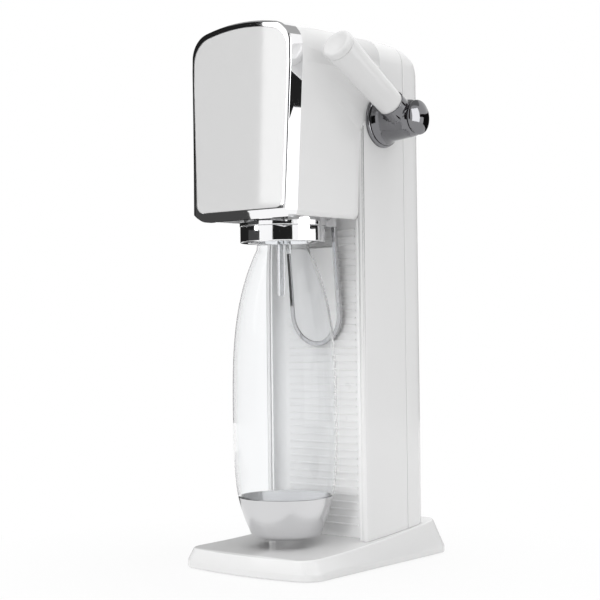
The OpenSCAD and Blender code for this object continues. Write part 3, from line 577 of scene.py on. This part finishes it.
ring_r, hub_r, ring_from = 21.4, 6.5, half_w + 0.1
ring_outline = (
    [(hub_r, ring_from), (ring_r, ring_from), (ring_r, half_w + 1.2)]
    + arc(ring_r - 2.4, half_w + 1.1, 2.4, 5, 90, 8, 0.8)
    + [(12.0, half_w + 3.05), (hub_r, half_w + 3.05), (hub_r, ring_from)]
)
ring = turned("lever_ring", ring_outline, lever_axis, 128)
fit(ring, "stand", lever_chrome_painted_dark, "chrome", "escutcheon")

knob_from, knob_end, dome_steps = 89.0, 95.9, 14
knob_r, rim_round = 14.0, 2.4
rim = arc(knob_r - rim_round, knob_from + 0.8, rim_round, 0, 55, 8)
rim_r, rim_h = rim[-1]
dome_r = (rim_r ** 2 + (knob_end - rim_h) ** 2) / (2 * (knob_end - rim_h))
dome_angle = math.asin(rim_r / dome_r)
dome_turns = [dome_angle * i / dome_steps for i in range(dome_steps - 1, -1, -1)]
dome = [(dome_r * math.sin(a), knob_end - dome_r * (1 - math.cos(a))) for a in dome_turns]
knob_foot = [(0, knob_from - 0.6), (knob_r - 1.4, knob_from - 0.6), (knob_r - 0.8, knob_from)]
knob_outline = knob_foot + rim + dome
knob = turned("lever_end_knob", knob_outline, lever_axis, 128, 50)
fit(knob, "lever", lever_chrome_painted_dark, "chrome", "lever_knob")

# %% [markdown]
# ## The handle
#
# A long white handle stands on the hub, leaning back. It grows slightly thicker towards its tip and
# ends in a separate cap, with a fine groove between the two.

# %% Handle and its cap
handle_x, handle_slope = 0.0765, 29.9
handle_axis = (
    Matrix.Translation((handle_x, shaft_y, shaft_z))
    @ Matrix.Rotation(math.radians(90 - handle_slope), 4, "X")
)
root_r, tip_r, handle_len, cap_len = 10.0, 12.8, 99.0, 5.5
grow = (tip_r - root_r) / handle_len
handle_from, cap_from = 6.0, handle_len - cap_len
start_r = root_r + grow * handle_from
handle_outline = [
    (0, handle_from), (start_r - 0.5, handle_from), (start_r, handle_from + 0.5),
    (tip_r - grow * (cap_len + 1.2), cap_from - 1.2), (tip_r - 0.5, cap_from - 0.4),
    (tip_r - 1.2, cap_from), (0, cap_from),
]
handle = turned("handle_grip", handle_outline, handle_axis, 96)
fit(handle, "lever", white_grip, "white_plastic", "lever_handle")

cap_outline = (
    [(0, cap_from), (tip_r - 1.2, cap_from), (tip_r - 0.3, cap_from + 0.2), (tip_r, cap_from + 0.6)]
    + arc(tip_r - 2.6, handle_len - 2.1, 2.6, 0, 80, 8, 0.8)
    + [(tip_r - 4.2, handle_len - 0.25), (tip_r - 5.0, handle_len - 0.6), (0, handle_len - 0.6)]
)
cap = turned("handle_tip", cap_outline, handle_axis, 96)
fit(cap, "lever", white_grip, "white_plastic", "handle_cap")

# %% [markdown]
# ## The lever's hub
#
# The hub is a casting: a flared barrel on the shaft and a short one for the handle run into each
# other. It isn't round about any one axis, so it is a softened copy of its solid.

# %% Lever hub
moulded("hub", "lever_hub", "lever", lever_chrome_painted_dark, "chrome", hard=24.0)

# %% [markdown]
# ## The gas cylinder
#
# Behind the cover stands the gas cylinder with its valve, held by a clamp. It is the only inner part
# that is seen nearly whole when the cover is off, so it is turned again, with a long shoulder.

# %% Gas cylinder
cylinder_place = Matrix.Translation((0, 0.084, 0))
cylinder_r, cylinder_foot, foot_corner = 30.0, 30.5, 6.0
shoulder_from, thread_r, thread_end = 300.0, 8.0, 330.0
neck_out, neck_top = 12.0, 342.0
cylinder_outline = (
    [(0, cylinder_foot), (cylinder_r - foot_corner, cylinder_foot)]
    + arc(cylinder_r - foot_corner, cylinder_foot + foot_corner, foot_corner, 270, 360, 6)
    + [(cylinder_r, 100), (cylinder_r, shoulder_from - 1)]
    + arc(neck_out, shoulder_from, cylinder_r - neck_out, 0, 90, 12, 2.0)
    + [(neck_out, neck_top - 0.4), (neck_out - 0.4, neck_top)]
    + [(thread_r, neck_top), (thread_r, thread_end), (0, thread_end)]
)
cylinder = turned("gas_bottle", cylinder_outline, cylinder_place, 96)
fit(cylinder, "stand", drawn_aluminium, "aluminium", "gas_cylinder")

# %% [markdown]
# ## The other inner parts
#
# The frame plate, pipes, springs, cam and pins are simple parts whose solids are already right, so
# they keep their own mesh. Only their material is new.

# %% Finishes of the inner parts
inner_finishes = [
    (bright_steel, ["base_screws", "chassis_screws", "lever_shaft", "lever_spring", "valve_plunger"]),
    (bright_steel, ["valve_spring", "clamp_pin", "pivot_pins", "button_spring"]),
    (zinc_plate, ["chassis"]),
    (brass, ["valve_body", "cylinder_valve", "relief_valve"]),
    (dark_moulding, ["base_plate", "bush_inner", "bush_outer", "lever_cam"]),
    (dark_moulding, ["connector_block", "carbonation_head"]),
    (black_rubber, ["rubber_feet", "cylinder_seat", "neck_seal"]),
    (pressure_tube, ["gas_pipe", "feed_pipe"]),
    (clear_tube, ["relief_tip"]),
    (clamp_pink, ["clamp_lever"]),
]
for finish, nodes in inner_finishes:
    for node in nodes:
        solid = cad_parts[node]
        solid.data.materials.clear()
        solid.data.materials.append(finish)
print("parts with their own mesh:", sum(len(nodes) for _, nodes in inner_finishes))

# %% [markdown]
# ## The floor
#
# The machine stands on a white floor. The floor is a wide disc. To the camera and to mirrors it is
# mostly its own white glow: near the machine a trace of its real shading is left in, and with it the
# machine's shadow, and further out it turns into plain white, so no edge shows.

# %% Floor
def light_switch(tree):
    """1 for rays from the camera, from mirrors and through clear plastic, 0 for all others."""
    path = tree.nodes.new("ShaderNodeLightPath")
    either = path.outputs["Is Camera Ray"]
    for kind in ("Is Glossy Ray", "Is Transmission Ray"):
        larger = tree.nodes.new("ShaderNodeMath")
        larger.operation = "MAXIMUM"
        tree.links.new(either, larger.inputs[0])
        tree.links.new(path.outputs[kind], larger.inputs[1])
        either = larger.outputs[0]
    return either


shading_until, white_from = 0.12, 0.32
glow_near, glow_far = 0.85, 1.0
bm = bmesh.new()
bmesh.ops.create_circle(bm, cap_ends=True, segments=96, radius=3.0)
floor = show("floor", bm)
floor.location.z = -0.0002
floor_finish, tree, shader, place = start_finish("floor_white")
shader.inputs["Roughness"].default_value = 0.6
shader.inputs["Base Color"].default_value = (*grey(0.82), 1)
glow = tree.nodes.new("ShaderNodeEmission")
distance = tree.nodes.new("ShaderNodeVectorMath")
distance.operation = "LENGTH"
tree.links.new(place, distance.inputs[0])
reach = spread(tree, distance.outputs["Value"], glow_near, glow_far, shading_until, white_from)
share = tree.nodes.new("ShaderNodeMath")
share.operation = "MULTIPLY"
mixer = tree.nodes.new("ShaderNodeMixShader")
tree.links.new(light_switch(tree), share.inputs[0])
tree.links.new(reach, share.inputs[1])
tree.links.new(share.outputs[0], mixer.inputs["Fac"])
tree.links.new(shader.outputs["BSDF"], mixer.inputs[1])
tree.links.new(glow.outputs["Emission"], mixer.inputs[2])
tree.links.new(mixer.outputs["Shader"], tree.nodes["Material Output"].inputs["Surface"])
floor.data.materials.append(floor_finish)
print("floor keeps", round(1 - glow_near, 2), "of its shading near the machine")

# %% [markdown]
# ## The white room
#
# The room is plain white to the camera, to mirrors and to clear plastic. To everything else it gives
# an even light, a little weaker than that white, which the lamps then add to.

# %% Room
world = bpy.data.worlds.new("white_room")
bpy.context.scene.world = world
world.use_nodes = True
tree = world.node_tree
seen = tree.nodes.new("ShaderNodeBackground")
even_light = tree.nodes["Background"]
for backdrop, strength in ((seen, 1.0), (even_light, 0.80)):
    backdrop.inputs["Color"].default_value = (1, 1, 1, 1)
    backdrop.inputs["Strength"].default_value = strength
mixer = tree.nodes.new("ShaderNodeMixShader")
tree.links.new(light_switch(tree), mixer.inputs["Fac"])
tree.links.new(even_light.outputs["Background"], mixer.inputs[1])
tree.links.new(seen.outputs["Background"], mixer.inputs[2])
tree.links.new(mixer.outputs["Shader"], tree.nodes["World Output"].inputs["Surface"])
print("room light:", round(even_light.inputs["Strength"].default_value, 2))

# %% [markdown]
# ## Lamps
#
# Four soft lamps add shape to the room's even light: a big one overhead, a key in front on the left, a
# weak fill for the machine's right side, and a low narrow one that reaches into the niche behind the
# bottle. Area lamps are used because their shadows are soft. They are hidden from mirrors and from
# clear plastic, where they would show as bright squares.

# %% Lamps
def direction(angle):
    """A unit step on the floor, at an angle from straight in front towards the right."""
    return Vector((math.sin(math.radians(angle)), -math.cos(math.radians(angle)), 0))


def area_lamp(name, width, height, radiance):
    """An evenly glowing rectangle, hidden from mirrors and from clear plastic."""
    lamp = bpy.data.lights.new(name, "AREA")
    lamp.shape = "RECTANGLE"
    lamp.size = width
    lamp.size_y = height
    lamp.energy = radiance * math.pi * width * height
    box = bpy.data.objects.new(name, lamp)
    box.visible_glossy = False
    box.visible_transmission = False
    bpy.context.scene.collection.objects.link(box)
    print(name, "size:", round(width, 2), "x", round(height, 2), "power:", round(lamp.energy, 1))
    return box


def soft_box(name, start, end, radiance, low=0.1, high=1.5):
    """A tall lamp between two points on the floor, facing the machine."""
    box = area_lamp(name, (end - start).length, high - low, radiance)
    middle = (start + end) / 2 + Vector((0, 0, (low + high) / 2))
    inward = Vector((-(end - start).y, (end - start).x, 0)).normalized()
    if inward.dot(-middle) < 0:
        inward.negate()
    box.matrix_world = Matrix.Translation(middle) @ inward.to_track_quat("-Z", "Y").to_matrix().to_4x4()


soft_box("key_box", Vector((-0.873, -1.252, 0)), Vector((0.351, -1.462, 0)), 0.35)
fill_distance = 1.45
soft_box("fill_box", direction(67) * fill_distance, direction(132) * fill_distance, 0.10)
top_box = area_lamp("top_box", 2.0, 2.0, 1.5)
top_box.location = (0, 0, 1.9)
niche_from, niche_at = Vector((0.05, -1.0, 0.10)), Vector((0.01, 0.05, 0.11))
niche_box = area_lamp("niche_box", 0.4, 0.16, 0.38)
niche_box.data.spread = math.radians(18)
niche_box.location = niche_from
niche_box.rotation_euler = (niche_at - niche_from).to_track_quat("-Z", "Y").to_euler()

# %% [markdown]
# ## Boards and cards
#
# Mirror plating only looks like metal when it has dark things to reflect beside bright ones. In a
# studio, black boards and white cards are hung round such an object. Here they are glowing sheets
# that only glossy rays meet: they show in the plating and in the gloss of the white plastic, and light
# nothing. The upper card's edge draws the line down the front panel.

# %% Boards and cards
def hung(piece, shade):
    """Gives a board its even glow, and hides it from all but glossy rays."""
    finish = bpy.data.materials.new(piece.name)
    finish.use_nodes = True
    paint = finish.node_tree.nodes.new("ShaderNodeEmission")
    paint.inputs["Color"].default_value = (1, 1, 1, 1)
    paint.inputs["Strength"].default_value = shade
    output = finish.node_tree.nodes["Material Output"]
    finish.node_tree.links.new(paint.outputs["Emission"], output.inputs["Surface"])
    piece.data.materials.append(finish)
    for kind in ("camera", "diffuse", "transmission", "volume_scatter", "shadow"):
        setattr(piece, "visible_" + kind, False)


def board(name, start, end, low, high, shade, distance=1.8):
    """A curved board round the machine, from one angle to another and from low to high."""
    bm = bmesh.new()
    foot_of = bm.verts.new(direction(start) * distance + Vector((0, 0, low)))
    head_of = bm.verts.new(direction(start) * distance + Vector((0, 0, high)))
    side = bm.edges.new((foot_of, head_of))
    bmesh.ops.spin(
        bm, geom=[foot_of, head_of, side], cent=(0, 0, 0), axis=(0, 0, 1),
        angle=math.radians(end - start), steps=24, use_duplicate=False,
    )
    hung(show(name, bm), shade)


def flat_board(name, centre, size, shade):
    """A level board."""
    bm = bmesh.new()
    bmesh.ops.create_grid(bm, x_segments=1, y_segments=1, size=0.5)
    bmesh.ops.scale(bm, vec=(*size, 1), verts=bm.verts)
    piece = show(name, bm)
    piece.location = centre
    hung(piece, shade)


black, dim = 0.015, 0.06
below, over, ceiling = -0.1, 0.78, 2.2
card_low, card_split = 0.50, 0.517
upright_boards = [
    ("board_camera_side", 13.5, 66.5, below, ceiling, black),
    ("board_right_rear", 139, 200, below, over, black),
    ("board_right_high", 118, 139, card_split, over, black),
    ("board_left", -139, -64, below, ceiling, black),
    ("board_left_low", -64, -24, below, card_low, dim),
    ("board_left_high", -64, -40.9, card_low, ceiling, black),
    ("card_upper", -40.9, -30, card_low, ceiling, 2.6),
    ("card_rear", 84, 118, 0.0, 1.5, 3.6),
    ("card_rear_low", 118, 139, 0.0, card_split, 1.2),
]
for upright in upright_boards:
    board(*upright)
flat_board("board_floor", (-0.60, 0.0, 0.0004), (0.7, 0.6), dim)
flat_board("board_ceiling", (0.0, 0.0, ceiling), (3.8, 3.8), 0.40)
print("upright boards and cards:", len(upright_boards), "and two level ones")

# %% [markdown]
# ## The camera
#
# A long lens keeps the machine's uprights nearly parallel. The camera stands to the right of the
# front, at the height of the bottle, and looks very slightly upwards.

# %% Camera
heading, tilt, roll = 40.8, 91.03, -0.69
camera_data = bpy.data.cameras.new("portrait")
camera_data.lens = 88.26
camera_data.sensor_width = 36.0
camera_data.clip_start = 0.01
camera = bpy.data.objects.new("portrait", camera_data)
aim = (
    Matrix.Rotation(math.radians(heading), 4, "Z")
    @ Matrix.Rotation(math.radians(tilt), 4, "X")
    @ Matrix.Rotation(math.radians(roll), 4, "Z")
)
camera.matrix_world = Matrix.Translation((0.7821, -0.8861, 0.1923)) @ aim
bpy.context.scene.collection.objects.link(camera)
bpy.context.scene.camera = camera
bpy.context.scene.view_settings.view_transform = "Standard"
print("camera distance:", round(camera.location.length, 3))
